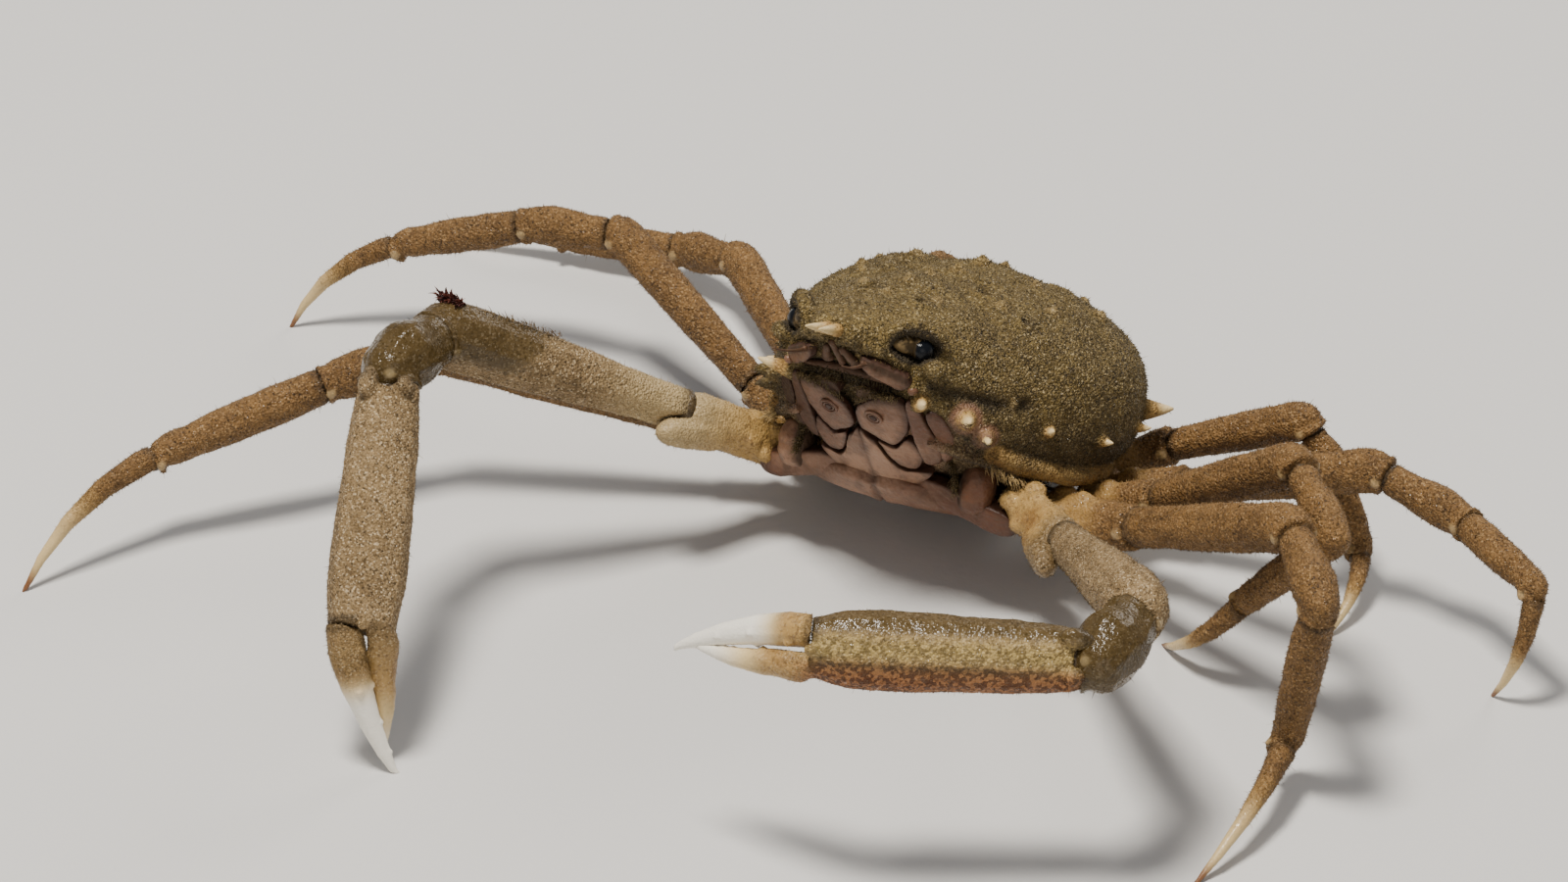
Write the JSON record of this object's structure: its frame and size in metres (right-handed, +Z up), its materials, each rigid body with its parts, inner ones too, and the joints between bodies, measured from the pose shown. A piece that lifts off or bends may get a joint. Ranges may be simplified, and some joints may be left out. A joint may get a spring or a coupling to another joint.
{
  "type": "portly spider crab",
  "caption": "Life-size still model of a spider crab with a domed spiny shell, long slender walking legs and long pincers, rearing on its leg tips",
  "frame": {"origin": "on the floor under the middle of the whole model's bounding box", "axes": "the crab faces -Y, its own left side is at +X, +Z is up"},
  "size_m": [0.1658, 0.1206, 0.0404],
  "materials": {
    "carapace": "olive-brown shell under a short felt",
    "underside": "pink-cream shell with brown stains",
    "leg": "tan-brown felted shell, amber at the tips",
    "claw": "wet olive-tan shell, white at the finger tips",
    "eye": "glossy black",
    "horn": "pale horn"
  },
  "bodies": {
    "root": {"carapace": "carapace", "sternum": "underside", "abdomen": "underside", "maxilliped_L": "underside", "maxilliped_R": "underside", "eye_L": "eye", "eye_R": "eye", "antenna_L": "horn", "antenna_R": "horn", "claw_L_base": "claw", "claw_L_merus": "claw", "claw_L_carpus": "claw", "claw_L_palm": "claw", "claw_L_finger": "claw", "claw_R_base": "claw", "claw_R_merus": "claw", "claw_R_carpus": "claw", "claw_R_palm": "claw", "claw_R_finger": "claw", "leg1_L_base": "leg", "leg1_L_merus": "leg", "leg1_L_carpus": "leg", "leg1_L_propodus": "leg", "leg1_L_dactyl": "leg", "leg1_R_base": "leg", "leg1_R_merus": "leg", "leg1_R_carpus": "leg", "leg1_R_propodus": "leg", "leg1_R_dactyl": "leg", "leg2_L_base": "leg", "leg2_L_merus": "leg", "leg2_L_carpus": "leg", "leg2_L_propodus": "leg", "leg2_L_dactyl": "leg", "leg2_R_base": "leg", "leg2_R_merus": "leg", "leg2_R_carpus": "leg", "leg2_R_propodus": "leg", "leg2_R_dactyl": "leg", "leg3_L_base": "leg", "leg3_L_merus": "leg", "leg3_L_carpus": "leg", "leg3_L_propodus": "leg", "leg3_L_dactyl": "leg", "leg3_R_base": "leg", "leg3_R_merus": "leg", "leg3_R_carpus": "leg", "leg3_R_propodus": "leg", "leg3_R_dactyl": "leg", "leg4_L_base": "leg", "leg4_L_merus": "leg", "leg4_L_carpus": "leg", "leg4_L_propodus": "leg", "leg4_L_dactyl": "leg", "leg4_R_base": "leg", "leg4_R_merus": "leg", "leg4_R_carpus": "leg", "leg4_R_propodus": "leg", "leg4_R_dactyl": "leg"}
  },
  "joints": []
}
